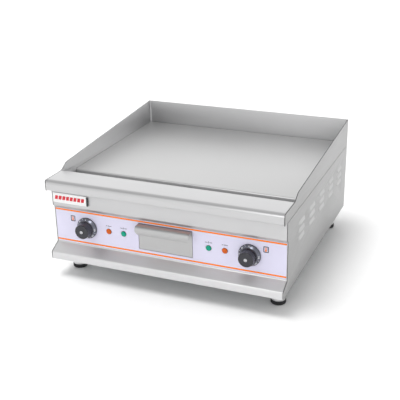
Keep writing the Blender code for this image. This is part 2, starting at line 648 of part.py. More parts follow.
# ---------------------------------------------------------------- supply and wiring
def terminal_block():
    """Five-way block whose barriers stand between the clamps."""
    left, front, back = -0.225, 0.455, 0.480
    pitch, barrier, ways = 0.0100, 0.0020, 5
    wall_top, clamp_top = PAN_TOP + 0.024, PAN_TOP + 0.016
    outline = [(left, PAN_TOP)]
    for i in range(ways + 1):
        x = left + pitch * i
        outline += [(x, wall_top), (x + barrier, wall_top)]
        if i < ways:
            outline += [(x + barrier, clamp_top), (x + pitch, clamp_top)]
    outline += [(left + pitch * ways + barrier, PAN_TOP)]
    prism("terminal_block", outline, "Y", front, back, NYLON)


def cable_gland():
    """Nylon gland through the back panel with its lock nut inside."""
    bore, flange, neck, mouth = 0.0070, 0.0135, 0.0118, 0.0090
    inner_end, flange_back, neck_back = BACK_IN - 0.0078, BACK_SEAT + 0.0077, OVERALL_DEPTH - 0.0035
    body = [(bore, inner_end), (GLAND_THREAD, inner_end), (GLAND_THREAD, BACK_SEAT), (flange, BACK_SEAT),
            (flange, flange_back), (neck, flange_back + 0.0008), (neck - 0.0006, neck_back),
            (mouth, OVERALL_DEPTH), (bore, OVERALL_DEPTH)]
    nut_radius, nut_back = 0.0140, BACK_IN - FIT
    nut_front = nut_back - 0.006
    nut = [(GLAND_THREAD + FIT, nut_front), (nut_radius, nut_front), (nut_radius, nut_back),
           (GLAND_THREAD + FIT, nut_back)]
    at = (GLAND_AT[0], 0, GLAND_AT[1])
    turned("cable_gland", body, "Y", NYLON, at)
    turned("gland_locknut", nut, "Y", NYLON, at)


def bonding_stud():
    """Brass stud with its nut, where an equipotential bonding wire is fastened."""
    inner_end, outer_end, nut, nut_back = 0.5650, 0.5900, 0.0055, BACK_SEAT + 0.005
    profile = [(0, inner_end), (STUD_RADIUS, inner_end), (STUD_RADIUS, BACK_SEAT), (nut, BACK_SEAT),
               (nut, nut_back), (STUD_RADIUS, nut_back), (STUD_RADIUS, outer_end), (0, outer_end)]
    turned("bonding_stud", profile, "Y", BRASS, (BOND_AT[0], 0, BOND_AT[1]), 12)


def wiring_looms():
    """Sleeved wires from the terminal block along the casing floor to each thermostat."""
    low, block_face, loom, side_x = 0.061, 0.4535, 0.0038, 0.236
    rear = {"left": [(-0.208, block_face, 0.064), (-0.208, 0.440, 0.063), (-0.224, 0.400, low)],
            "right": [(-0.184, block_face, 0.064), (-0.184, 0.440, 0.063), (-0.150, 0.420, low),
                      (-0.060, 0.4150, low), (0.080, 0.4150, low), (0.190, 0.400, low)]}
    for side, sign in SIDES.items():
        x = sign * KNOB_X
        forward = [(sign * side_x, 0.340, low), (sign * side_x, 0.160, low), (sign * 0.228, 0.100, 0.078),
                   (x, 0.072, 0.112), (x, 0.0600, 0.1200)]
        tube(f"wiring_loom_{side}", smooth_route(rear[side] + forward, 4), loom, WIRE, 1)


cooking_plate()
splash_guards()
back_splash()
front_nose()
grease_trough()
drain_spout()
heating_elements()
element_clamps()
insulation()
thermostats()
control_overlay(front_panel())
name_badge()
screw_holes = rods("screw_holes", SCREWS_AT, SCREW_SHANK + CLEAR, "Y", DEPTH - CUT, DEPTH + CUT, 12)
side_panels(screw_holes)
back_panel(screw_holes)
base_pan()
back_screws()
knobs()
lamps()
drawer()
drawer_guides()
feet()
terminal_block()
cable_gland()
bonding_stud()
wiring_looms()
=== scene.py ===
"""Looks of a countertop electric griddle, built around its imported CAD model.

Metres, +Z up, the controls face -Y. Places come from the CAD nodes' boxes; a length written here is a
dimension of the surface detail that the CAD model leaves out.
"""

import json
import math

import bmesh
import bpy
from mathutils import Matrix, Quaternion, Vector


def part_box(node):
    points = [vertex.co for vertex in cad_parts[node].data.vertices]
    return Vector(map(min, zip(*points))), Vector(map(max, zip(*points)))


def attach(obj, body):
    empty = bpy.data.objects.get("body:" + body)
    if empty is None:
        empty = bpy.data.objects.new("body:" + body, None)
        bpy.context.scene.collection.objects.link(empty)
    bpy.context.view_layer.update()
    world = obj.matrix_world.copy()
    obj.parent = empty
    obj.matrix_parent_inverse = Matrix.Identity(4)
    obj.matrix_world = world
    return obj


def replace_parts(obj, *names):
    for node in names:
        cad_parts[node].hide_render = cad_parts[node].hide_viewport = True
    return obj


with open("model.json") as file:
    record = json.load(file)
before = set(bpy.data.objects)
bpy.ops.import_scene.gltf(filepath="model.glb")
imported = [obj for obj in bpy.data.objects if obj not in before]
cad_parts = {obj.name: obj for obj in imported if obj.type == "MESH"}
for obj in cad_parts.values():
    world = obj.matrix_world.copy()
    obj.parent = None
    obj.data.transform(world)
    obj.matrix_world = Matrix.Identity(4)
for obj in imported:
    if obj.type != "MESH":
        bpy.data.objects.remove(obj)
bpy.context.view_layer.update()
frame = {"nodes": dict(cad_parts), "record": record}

SIDES = {"left": -1, "right": 1}
ROUND = 64                       # sides of turned pieces
NOSE_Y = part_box("front_nose_deck")[0].y
WIDTH_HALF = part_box("splash_guard_right")[1].x
FILM_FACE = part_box("control_overlay")[0].y


# ---------------------------------------------------------------- shader helpers
def add(tree, kind, settings=None, inputs=None):
    """A node with its settings and inputs; an input is a value or another node's socket."""
    made = tree.nodes.new(kind)
    for key, value in (settings or {}).items():
        setattr(made, key, value)
    for key, value in (inputs or {}).items():
        if isinstance(value, bpy.types.NodeSocket):
            tree.links.new(value, made.inputs[key])
        else:
            made.inputs[key].default_value = value
    return made


def principled(name, roughness, metallic=0.0, **more):
    """An empty material's tree and its shader, with constants on the shader's own sockets."""
    made = bpy.data.materials.new(name)
    made.use_nodes = True
    shader = made.node_tree.nodes["Principled BSDF"]
    shader.inputs["Roughness"].default_value = roughness
    shader.inputs["Metallic"].default_value = metallic
    for key, value in more.items():
        shader.inputs[key.replace("_", " ")].default_value = value
    return made, made.node_tree, shader


def noise(tree, place, scale, detail=3.0, roughness=0.55):
    sockets = {"Vector": place, "Scale": scale, "Detail": detail, "Roughness": roughness}
    return add(tree, "ShaderNodeTexNoise", inputs=sockets).outputs["Fac"]


def ramp(tree, factor, *stops):
    """Colour stops (position, colour) along a factor; a colour may be one grey value."""
    made = add(tree, "ShaderNodeValToRGB", inputs={"Fac": factor})
    elements = made.color_ramp.elements
    while len(elements) < len(stops):
        elements.new(0.5)
    for element, (position, colour) in zip(elements, stops):
        element.position = position
        element.color = (*colour, 1) if isinstance(colour, tuple) else (colour, colour, colour, 1)
    return made.outputs["Color"]


def spread(tree, factor, low, high, start=0.3, end=0.7):
    """The factor's range start..end mapped to low..high."""
    sockets = {"Value": factor, "From Min": start, "From Max": end, "To Min": low, "To Max": high}
    return add(tree, "ShaderNodeMapRange", inputs=sockets).outputs["Result"]


def mixed(tree, first, share, second):
    """A share of the first pattern added to the second."""
    made = add(tree, "ShaderNodeMath", {"operation": "MULTIPLY_ADD"}, {0: first, 1: share, 2: second})
    return made.outputs[0]


def bump(tree, shader, height, distance, strength=1.0):
    sockets = {"Height": height, "Distance": distance, "Strength": strength}
    normal = add(tree, "ShaderNodeBump", inputs=sockets).outputs["Normal"]
    tree.links.new(normal, shader.inputs["Normal"])


def object_place(tree):
    return add(tree, "ShaderNodeTexCoord").outputs["Object"]


def stretched(tree, place, scale):
    return add(tree, "ShaderNodeMapping", inputs={"Vector": place, "Scale": scale}).outputs["Vector"]


def shade(colour, factor):
    return tuple(min(1.0, c * factor) for c in colour)


# ---------------------------------------------------------------- materials
GRAINS = {"X": (9, 1400, 1400), "Y": (1400, 9, 1400), "Z": (1400, 1400, 9), "ring": (40, 40, 1600)}


def brushed(name, grain, colour, roughness, depth=0.00002):
    """Brushed sheet: long fine streaks along the grain over faint clouds of wear."""
    made, tree, shader = principled(name, roughness, 1.0)
    place = object_place(tree)
    streaks = noise(tree, stretched(tree, place, GRAINS[grain]), 1.0, 5.0, 0.7)
    clouds = noise(tree, place, 7.0, 3.0)
    both = mixed(tree, clouds, 0.35, streaks)
    tint = ramp(tree, both, (0.40, shade(colour, 0.96)), (0.68, colour), (0.95, shade(colour, 1.03)))
    tree.links.new(tint, shader.inputs["Base Color"])
    polish = spread(tree, both, roughness * 0.86, roughness * 1.16, 0.45, 0.90)
    tree.links.new(polish, shader.inputs["Roughness"])
    bump(tree, shader, streaks, depth, 0.5)
    return made


def grained(name, colour, roughness, scale, depth, variation=0.12, **more):
    """Moulded plastic, rubber or fibre: a fine even grain with a faint mottle."""
    made, tree, shader = principled(name, roughness, **more)
    place = object_place(tree)
    grain = noise(tree, place, scale, 4.0, 0.6)
    mottle = noise(tree, place, scale / 40, 3.0)
    both = mixed(tree, mottle, 0.5, grain)
    tint = ramp(tree, both, (0.45, shade(colour, 1 - variation)), (1.05, shade(colour, 1 + variation)))
    tree.links.new(tint, shader.inputs["Base Color"])
    tree.links.new(spread(tree, both, roughness * 0.85, roughness * 1.15, 0.5, 1.0), shader.inputs["Roughness"])
    bump(tree, shader, grain, depth, 0.6)
    return made


def spangled(name, colour, roughness):
    """Zinc-coated sheet: crystals a few millimetres across."""
    made, tree, shader = principled(name, roughness, 1.0)
    place = object_place(tree)
    crystals = add(tree, "ShaderNodeTexVoronoi", inputs={"Vector": place, "Scale": 160.0}).outputs["Color"]
    value = add(tree, "ShaderNodeRGBToBW", inputs={"Color": crystals}).outputs["Val"]
    tint = ramp(tree, value, (0.1, shade(colour, 0.75)), (0.9, shade(colour, 1.15)))
    tree.links.new(tint, shader.inputs["Base Color"])
    tree.links.new(spread(tree, value, roughness * 0.8, roughness * 1.2, 0, 1), shader.inputs["Roughness"])
    bump(tree, shader, noise(tree, place, 500.0), 0.00002, 0.5)
    return made


def tinted_sheath(name):
    """Element sheath: straw and blue heat tints along a dark nickel alloy."""
    made, tree, shader = principled(name, 0.45, 1.0)
    place = object_place(tree)
    tint = ramp(tree, noise(tree, place, 14.0, 4.0), (0.3, (0.20, 0.17, 0.15)), (0.5, (0.33, 0.27, 0.20)),
                (0.62, (0.20, 0.20, 0.26)), (0.75, (0.30, 0.28, 0.27)))
    tree.links.new(tint, shader.inputs["Base Color"])
    bump(tree, shader, noise(tree, place, 1800.0), 0.00003, 0.6)
    return made


def fibrous(name, colour):
    """Ceramic-fibre blanket: matted white fibres."""
    made, tree, shader = principled(name, 0.95)
    place = object_place(tree)
    fibres = noise(tree, stretched(tree, place, (300, 900, 600)), 1.0, 6.0, 0.75)
    tint = ramp(tree, fibres, (0.3, shade(colour, 0.82)), (0.7, colour))
    tree.links.new(tint, shader.inputs["Base Color"])
    bump(tree, shader, fibres, 0.0006, 0.8)
    return made


def braided(name, colour):
    """Glass-fibre sleeving: crossed diagonal strands."""
    made, tree, shader = principled(name, 0.75)
    place = object_place(tree)
    waves = [add(tree, "ShaderNodeTexWave", {"bands_direction": "DIAGONAL"},
                 {"Vector": stretched(tree, place, (turn, 1, 1)), "Scale": 380.0}).outputs["Fac"]
             for turn in (1, -1)]
    weave = add(tree, "ShaderNodeMath", {"operation": "MAXIMUM"}, {0: waves[0], 1: waves[1]}).outputs[0]
    tint = ramp(tree, weave, (0.3, shade(colour, 0.5)), (0.9, shade(colour, 1.4)))
    tree.links.new(tint, shader.inputs["Base Color"])
    bump(tree, shader, weave, 0.0002, 0.8)
    return made


def lens(name, colour):
    """Moulded pilot-lamp lens: glossy, with small prisms behind the face and a darker edge."""
    # Painted glow: the lens gives off a faint light in its own colour that no lamp in the scene gives.
    made, tree, shader = principled(name, 0.12, Specular_IOR_Level=0.3, Emission_Strength=0.12)
    shader.inputs["Emission Color"].default_value = (*colour, 1)
    place = object_place(tree)
    prisms = add(tree, "ShaderNodeTexVoronoi", inputs={"Vector": place, "Scale": 520.0}).outputs["Distance"]
    tint = ramp(tree, prisms, (0.1, shade(colour, 1.15)), (0.6, shade(colour, 0.62)))
    tree.links.new(tint, shader.inputs["Base Color"])
    bump(tree, shader, prisms, 0.0001, 0.25)
    return made


# One stainless steel, but each sheet has its own brightness and polish. The brightness differences are painted
# light and shade: the pull, side panels and guards' outer faces are painted darker; the skirt, recess faces and
# louvre hoods are painted lighter.
STEEL = (0.59, 0.59, 0.595)
FRONT_STEEL = brushed("stainless_front", "X", STEEL, 0.50, 0.00001)
# Painted shade: the drawer's steel is made darker than the front steel.
PULL_PAINTED_DARKER_STEEL = brushed("stainless_pull_painted_darker", "X", (0.50, 0.50, 0.50), 0.44, 0.00001)
# Painted shade: the side panels and the guards' outer faces are made darker than the front steel.
SIDE_PAINTED_DARKER_STEEL = brushed("stainless_side_painted_darker", "Y", (0.395, 0.395, 0.395), 0.42, 0.00001)
NOSE_STEEL = brushed("stainless_nose", "X", (0.57, 0.57, 0.575), 0.34, 0.00001)
# Painted highlight: the louvre hoods are made lighter than the side steel around them.
HOOD_PAINTED_LIGHTER_STEEL = brushed("stainless_hood_painted_lighter", "Y", (0.50, 0.50, 0.50), 0.45, 0.00001)
# Painted light: the flared skirt and lip are made lighter than the front steel above them.
SKIRT_PAINTED_LIGHTER_STEEL = brushed("stainless_skirt_painted_lighter", "X", (0.70, 0.70, 0.705), 0.50, 0.00001)
# Painted light: the guards' faces toward the recess are made lighter than the front steel.
RECESS_PAINTED_LIGHTER_STEEL = brushed("stainless_recess_painted_lighter", "X", (0.72, 0.72, 0.725), 0.42, 0.00001)
TURNED_STEEL = brushed("stainless_turned", "ring", STEEL, 0.35)
CUT_EDGE = brushed("sheared_edge", "Y", (0.15, 0.15, 0.152), 0.60, 0.00002)
PLATE_STEEL = brushed("ground_plate", "Y", (0.66, 0.66, 0.66), 0.48, 0.00002)
ZINC = spangled("galvanised", (0.55, 0.57, 0.58), 0.45)
FILM = grained("control_film", (0.74, 0.72, 0.885), 0.38, 2600.0, 0.00001, 0.015)
ORANGE_PRINT = grained("orange_print", (1.0, 0.225, 0.0), 0.5, 2600.0, 0.00001, 0.03,
                       Specular_IOR_Level=0.15)
GREY_PRINT = grained("grey_print", (0.03, 0.03, 0.045), 0.5, 2600.0, 0.00001, 0.05,
                     Specular_IOR_Level=0.2)
PALE_GREY_PRINT = grained("pale_grey_print", (0.10, 0.10, 0.13), 0.5, 2600.0, 0.00001, 0.05,
                          Specular_IOR_Level=0.2)
WHITE_PRINT = grained("white_print", (0.85, 0.86, 0.88), 0.45, 2600.0, 0.00001, 0.03)
BADGE_WHITE = grained("badge_white", (0.93, 0.93, 0.93), 0.25, 900.0, 0.00001, 0.01, Coat_Weight=0.3)
BADGE_RED = grained("badge_red", (0.70, 0.012, 0.03), 0.3, 900.0, 0.00001, 0.03)
BADGE_DARK = grained("badge_dark", (0.035, 0.04, 0.045), 0.3, 900.0, 0.00001, 0.05)
BAKELITE = grained("bakelite", (0.010, 0.0105, 0.018), 0.14, 700.0, 0.00002, 0.25, Specular_IOR_Level=0.65)
# Painted sheen: the dial's bevel, part of the black moulding, gets a lighter metallic finish that stands in for
# glare.
DIAL_PAINTED_SHEEN_RING = grained("dial_ring_painted_sheen", (0.15, 0.155, 0.19), 0.24, 700.0, 0.00001, 0.2, Metallic=0.85)
CHROME = brushed("bright_metal", "ring", (0.52, 0.52, 0.54), 0.22)
GREEN_LENS = lens("green_lens", (0.0, 0.40, 0.25))
ORANGE_LENS = lens("orange_lens", (0.78, 0.13, 0.004))
NYLON = grained("black_nylon", (0.035, 0.035, 0.037), 0.55, 1500.0, 0.00004, 0.2)
RUBBER = grained("rubber", (0.020, 0.020, 0.021), 0.70, 1200.0, 0.00006, 0.3)
SHEATH = tinted_sheath("element_sheath")
FIBRE = fibrous("ceramic_fibre", (0.88, 0.87, 0.83))
PORCELAIN = grained("thermostat_case", (0.72, 0.69, 0.60), 0.5, 600.0, 0.00003, 0.06)
COPPER = brushed("copper", "Y", (0.72, 0.40, 0.26), 0.32)
BRASS = brushed("brass", "ring", (0.72, 0.55, 0.26), 0.28)
SLEEVING = braided("wire_sleeve", (0.10, 0.10, 0.10))

SLOT_MATERIALS = {
    "stainless": FRONT_STEEL, "plate": PLATE_STEEL, "galvanised": ZINC, "control_film": FILM,
    "badge": BADGE_WHITE, "bakelite": BAKELITE, "bright": CHROME, "orange_lens": ORANGE_LENS,
    "green_lens": GREEN_LENS, "nylon": NYLON, "rubber": RUBBER, "sheath": SHEATH, "fibre": FIBRE,
    "thermostat_case": PORCELAIN, "copper": COPPER, "brass": BRASS, "wire": SLEEVING,
}
NODE_SLOTS = {part["node"]: part["material_slot"] for part in frame["record"]["subparts"]}
NODE_BODIES = {node: body for body, nodes in frame["record"]["behaviour"]["bodies"].items() for node in nodes}


def coat_cad_nodes():
    """Every carried-over node gets its slot's finish."""
    for node, thing in frame["nodes"].items():
        thing.data.materials.clear()
        thing.data.materials.append(SLOT_MATERIALS[NODE_SLOTS[node]])


# ---------------------------------------------------------------- mesh helpers
def piece(name, shape, material, stands_for, smooth=35):
    """A finished piece from a bmesh: it rides with the node it stands for or is fixed to."""
    bmesh.ops.recalc_face_normals(shape, faces=shape.faces)
    mesh = bpy.data.meshes.new(name)
    shape.to_mesh(mesh)
    shape.free()
    mesh.shade_smooth()
    mesh.set_sharp_from_angle(angle=math.radians(smooth))
    mesh.materials.append(material)
    made = bpy.data.objects.new(name, mesh)
    bpy.context.scene.collection.objects.link(made)
    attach(made, NODE_BODIES[stands_for])
    return made


def bevelled(shape, width, segments=2, least=30):
    """Rounds the edges that turn by more than `least` degrees."""
    sharp = [e for e in shape.edges if len(e.link_faces) == 2 and e.calc_face_angle() > math.radians(least)]
    bmesh.ops.bevel(shape, geom=sharp, offset=width, segments=segments, profile=0.5, affect="EDGES",
                    clamp_overlap=True)


def cad_shape(node):
    """The node's solid as clean flat faces."""
    shape = bmesh.new()
    shape.from_mesh(frame["nodes"][node].data)
    bmesh.ops.remove_doubles(shape, verts=shape.verts, dist=0.000002)
    bmesh.ops.dissolve_limit(shape, angle_limit=math.radians(0.5), verts=shape.verts, edges=shape.edges)
    return shape


def softened(node, width=0.0003, material=None, segments=2):
    """Stands for a sheet-metal node with the same solid, its edges rounded as on real sheet."""
    shape = cad_shape(node)
    bevelled(shape, width, segments)
    made = piece(f"{node}_finished", shape, material or SLOT_MATERIALS[NODE_SLOTS[node]], node)
    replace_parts(made, node)
    return made


def arc(centre, radius, start, end, steps):
    angles = [math.radians(start + (end - start) * i / steps) for i in range(steps + 1)]
    return [(centre[0] + radius * math.cos(a), centre[1] + radius * math.sin(a)) for a in angles]


def fillet(before, corner, after, radius, steps=8):
    """Points on the arc that rounds the corner between two straight lines."""
    corner = Vector(corner)
    back, onward = (Vector(before) - corner).normalized(), (Vector(after) - corner).normalized()
    half = back.angle(onward) / 2
    centre = corner + (back + onward).normalized() * (radius / math.sin(half))
    reach = radius / math.tan(half)
    start, end = (corner + back * reach - centre).normalized(), (corner + onward * reach - centre).normalized()
    return [tuple(centre + start.slerp(end, i / steps) * radius) for i in range(steps + 1)]


def rounded_path(corners, radii, steps=8):
    """An open path through the corners, its inner corners rounded to these radii."""
    path = [corners[0]]
    for before, corner, after, radius in zip(corners, corners[1:], corners[2:], radii):
        path += fillet(before, corner, after, radius, steps)
    return [*path, corners[-1]]


def add_ring_stack(shape, profile, axis, centre, sides=ROUND, ripple=None):
    """Revolves (radius, height) points about a line along axis through centre.

    ripple(turn, index) scales the radius, for ribs and flats."""
    rings = []
    for index, (radius, height) in enumerate(profile):
        ring = []
        for i in range(sides if radius else 1):
            turn = 2 * math.pi * i / sides
            out = radius * (ripple(turn, index) if ripple else 1)
            across, up = out * math.cos(turn), out * math.sin(turn)
            corner = {"Y": (across, height, up), "Z": (across, up, height)}[axis]
            ring.append(shape.verts.new(Vector(centre) + Vector(corner)))
        rings.append(ring)
    closed = profile[0][0] and profile[-1][0]
    for a, b in zip(rings, rings[1:] + (rings[:1] if closed else [])):
        for i in range(sides):
            j = (i + 1) % sides
            corners = list(dict.fromkeys([a[i % len(a)], a[j % len(a)], b[j % len(b)], b[i % len(b)]]))
            if len(corners) > 2:
                shape.faces.new(corners)


def add_prism(shape, outline, axis, low, high):
    """Extrudes an outline along an axis; its points are on the two other axes in X, Y, Z order."""
    def corner(end, a, b):
        return {"X": (end, a, b), "Y": (a, end, b), "Z": (a, b, end)}[axis]
    ends = [[shape.verts.new(corner(end, a, b)) for a, b in outline] for end in (low, high)]
    shape.faces.new(ends[0])
    shape.faces.new(ends[1][::-1])
    for i in range(len(outline)):
        j = (i + 1) % len(outline)
        shape.faces.new((ends[0][i], ends[0][j], ends[1][j], ends[1][i]))


def middle(node):
    low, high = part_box(node)
    return (low + high) / 2


# ---------------------------------------------------------------- cooking top
def thickened(path, thickness):
    """A closed outline from an open path and its mitred offset to the right of its direction."""
    points = [Vector(p) for p in path]
    ways = [(b - a).normalized() for a, b in zip(points, points[1:])]
    rights = [Vector((w.y, -w.x)) for w in ways]
    offset = []
    for i, point in enumerate(points):
        before, after = rights[max(i - 1, 0)], rights[min(i, len(rights) - 1)]
        middle_way = (before + after).normalized()
        offset.append(point + middle_way * (thickness / middle_way.dot(before)))
    return [tuple(p) for p in points + offset[::-1]]


def splash_guards():
    """The node's own sheets, rounded, with a duller sheared edge along the top and front. Their faces toward
    the recess are painted lighter and their outer faces painted darker: painted light and shade on one steel.
    """
    for side, sign in SIDES.items():
        guard = softened(f"splash_guard_{side}", 0.0004, RECESS_PAINTED_LIGHTER_STEEL)
        guard.data.materials.append(SIDE_PAINTED_DARKER_STEEL)
        guard.data.materials.append(CUT_EDGE)
        for face in guard.data.polygons:
            across = face.normal.x * sign
            face.material_index = 0 if across < -0.6 else 1 if across > 0.6 else 2


def back_splash():
    sheet = softened("back_splash", 0.0004, FRONT_STEEL)
    sheet.data.materials.append(CUT_EDGE)
    for face in sheet.data.polygons:
        face.material_index = int(abs(face.normal.y) < 0.6)


def front_panel():
    """The bent front sheet; its flared skirt is painted lighter than the flat parts above: painted light on the
    same steel.
    """
    sheet = softened("front_panel")
    sheet.data.materials.append(SKIRT_PAINTED_LIGHTER_STEEL)
    skirt_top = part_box("control_overlay")[0].z - 0.002
    for face in sheet.data.polygons:
        face.material_index = int(face.center.z < skirt_top)


def front_nose():
    """Bullnose and deck in one bent sheet, with finer bends than the node it stands for."""
    low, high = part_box("front_nose_deck")
    sheet, bullnose, tight = 0.0015, 0.012, 0.0021
    path = [(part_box("name_badge")[1].y, low.z)]
    path += arc((low.y + tight, low.z + tight), tight, 270, 180, 6)
    path += arc((low.y + bullnose, high.z - bullnose), bullnose, 180, 90, 24)
    path += arc((high.y - tight, high.z - tight), tight, 90, 0, 6)
    path += [(high.y, 0.2385)]
    shape = bmesh.new()
    add_prism(shape, thickened(path, sheet), "X", low.x, high.x)
    bevelled(shape, 0.0002, 2, 50)
    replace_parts(piece("front_nose", shape, NOSE_STEEL, "front_nose_deck"), "front_nose_deck")


def corner_welds():
    """Ground weld fillets that close the two rear corners of the cooking recess."""
    radius, bury, sheet, back = 0.004, 0.0005, 0.002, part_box("back_splash")
    plate_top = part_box("griddle_plate")[1].z
    for side, sign in SIDES.items():
        x, y = sign * (WIDTH_HALF - sheet), back[0].y
        centre = (x - sign * radius, y - radius)
        angles = (90, 0) if sign > 0 else (90, 180)
        curve = arc(centre, radius, *angles, 10)
        outline = [(x + sign * bury, y + bury), (curve[0][0], y + bury), *curve[1:-1],
                   (x + sign * bury, curve[-1][1])]
        shape = bmesh.new()
        add_prism(shape, outline, "Z", plate_top + 0.0003, back[1].z - 0.0006)
        piece(f"corner_weld_{side}", shape, TURNED_STEEL, "back_splash", smooth=50)


# ---------------------------------------------------------------- louvred side panels
LOUVRE_START, LOUVRE_PITCH = 0.131, 0.090    # from the nose to the first column, and between columns
LOUVRE_YS = [NOSE_Y + LOUVRE_START + LOUVRE_PITCH * i for i in range(5)]
LOUVRE_ZS = [0.1915, 0.1725, 0.1535]


FASCIA_BOTTOM, CONTROL_TOP, FLARE_TOP, LIP_TOP = 0.1841, 0.1779, 0.0835, 0.0683     # bends of the front


def side_outline(low, high):
    """The skin's edge: down the fascia, the set-back control face, the flare and the lip."""
    fascia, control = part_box("name_badge")[1].y + 0.0003, FILM_FACE + 0.0008
    front = rounded_path([(fascia, high.z), (fascia, FASCIA_BOTTOM), (control, CONTROL_TOP),
                          (control, FLARE_TOP), (low.y, LIP_TOP), (low.y, low.z)],
                         [0.005, 0.005, 0.004, 0.0045])
    return [(high.y, low.z), (high.y, high.z), *front]


def add_hood(shape, face, sign, y, z):
    """A pressed louvre: a skin that rises smoothly from its top and ends to an open lower edge."""
    half, drop, out, sheet = 0.025, 0.0095, 0.0030, 0.0009
    across, along, blend = 36, 12, 0.30
    layers = []
    for inset in (0, sheet):
        grid = []
        for j in range(along + 1):
            v = j / along
            row = []
            for i in range(across + 1):
                u = 2 * i / across - 1
                end = min(1, (1 - abs(u)) / blend)
                rise = out * end * end * (3 - 2 * end) * math.cos(math.pi / 2 * v) ** 2
                x = face + sign * (rise - inset)
                row.append(shape.verts.new((x, y + u * half, z - drop / 2 + v * drop)))
            grid.append(row)
        layers.append(grid)
    for grid in layers:
        for a, b in zip(grid, grid[1:]):
            for i in range(across):
                shape.faces.new((a[i], a[i + 1], b[i + 1], b[i]))
    rims = [[g[0][i] for i in range(across + 1)] + [g[j][across] for j in range(1, along + 1)]
            + [g[along][i] for i in range(across - 1, -1, -1)] + [g[j][0] for j in range(along - 1, 0, -1)]
            for g in layers]
    for i in range(len(rims[0])):
        j = (i + 1) % len(rims[0])
        shape.faces.new((rims[0][i], rims[0][j], rims[1][j], rims[1][i]))


def cut_away(shape, cutter):
    """Subtracts one bmesh from another with an exact Boolean and returns the result."""
    made = []
    for part in (shape, cutter):
        bmesh.ops.recalc_face_normals(part, faces=part.faces)
        mesh = bpy.data.meshes.new("work")
        part.to_mesh(mesh)
        part.free()
        made.append(bpy.data.objects.new("work", mesh))
        bpy.context.scene.collection.objects.link(made[-1])
    step = made[0].modifiers.new("cut", "BOOLEAN")
    step.operation, step.solver, step.object = "DIFFERENCE", "EXACT", made[1]
    bpy.context.view_layer.update()
    evaluated = made[0].evaluated_get(bpy.context.evaluated_depsgraph_get())
    result = bmesh.new()
    result.from_mesh(evaluated.to_mesh())
    evaluated.to_mesh_clear()
    for thing in made:
        mesh = thing.data
        bpy.data.objects.remove(thing)
        bpy.data.meshes.remove(mesh)
    return result


def side_panels():
    sheet, proud = 0.0012, 0.0002
    slot_half, slot_low, slot_high = 0.0195, -0.0046, 0.0010
    for side, sign in SIDES.items():
        node = f"side_panel_{side}"
        low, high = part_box(node)
        skin, slots = bmesh.new(), bmesh.new()
        face = sign * WIDTH_HALF
        add_prism(skin, side_outline(low, high), "X", face - sign * sheet, face)
        for y in LOUVRE_YS:
            for z in LOUVRE_ZS:
                box = [(y - slot_half, z + slot_low), (y + slot_half, z + slot_low),
                       (y + slot_half, z + slot_high), (y - slot_half, z + slot_high)]
                add_prism(slots, box, "X", face - sign * 0.004, face + sign * 0.001)
        skin = cut_away(skin, slots)
        bevelled(skin, 0.0002)
        for y in LOUVRE_YS:
            for z in LOUVRE_ZS:
                add_hood(skin, face, sign, y, z)
        inner, front = face - sign * sheet * 0.9, low.y + 0.0215
        for z, reach in ((low.z, 0.0134), (high.z - sheet, 0.0144)):
            start = front if z == low.z else low.y + 0.150
            flange = [(inner, start), (inner - sign * reach, start), (inner - sign * reach, high.y - 0.004),
                      (inner, high.y - 0.004)]
            add_prism(skin, flange, "Z", z, z + sheet)
        # The side skin takes the darker steel: painted shade.
        made = piece(f"side_skin_{side}", skin, SIDE_PAINTED_DARKER_STEEL, node)
        made.data.materials.append(HOOD_PAINTED_LIGHTER_STEEL)
        # Faces standing proud of the skin, the louvre hoods, take the lighter steel: painted highlight.
        for polygon in made.data.polygons:
            polygon.material_index = int(polygon.center.x * sign > WIDTH_HALF + proud)
        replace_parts(made, node)


# ---------------------------------------------------------------- control face
PRINT = 0.00008                  # thickness of printed ink


def add_ink(shape, outline, proud=PRINT):
    add_prism(shape, outline, "Y", FILM_FACE - proud, FILM_FACE + 0.00005)


def rounded(x, z, width, height, radius, steps=5):
    """A rounded rectangle's outline about (x, z)."""
    a, b = width / 2 - radius, height / 2 - radius
    corners = ((a, b, 0), (-a, b, 90), (-a, -b, 180), (a, -b, 270))
    return [p for dx, dz, turn in corners for p in arc((x + dx, z + dz), radius, turn, turn + 90, steps)]


def add_band(shape, outer, inner, low, high):
    """A closed band between two outlines of equal length, standing along Y."""
    loops = [[shape.verts.new((x, y, z)) for x, z in line] for y in (low, high) for line in (outer, inner)]
    for a, b in ((0, 1), (1, 3), (3, 2), (2, 0)):
        for i in range(len(outer)):
            j = (i + 1) % len(outer)
            shape.faces.new((loops[a][i], loops[a][j], loops[b][j], loops[b][i]))


def ink_band(shape, x, z, width, height, radius, line):
    outer = rounded(x, z, width, height, radius)
    inner = rounded(x, z, width - 2 * line, height - 2 * line, max(radius - line, 0.0001))
    add_band(shape, outer, inner, FILM_FACE - PRINT, FILM_FACE + 0.00005)


def film_lines():
    """The two printed lines that run the film's whole width."""
    low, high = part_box("control_overlay")
    thick, inset = 0.0038, 0.0050
    shape = bmesh.new()
    for z in (low.z + inset, high.z - inset + 0.0020):
        below, above = z - thick / 2, z + thick / 2
        add_ink(shape, [(low.x, below), (high.x, below), (high.x, above), (low.x, above)])
    piece("film_lines", shape, ORANGE_PRINT, "control_overlay")


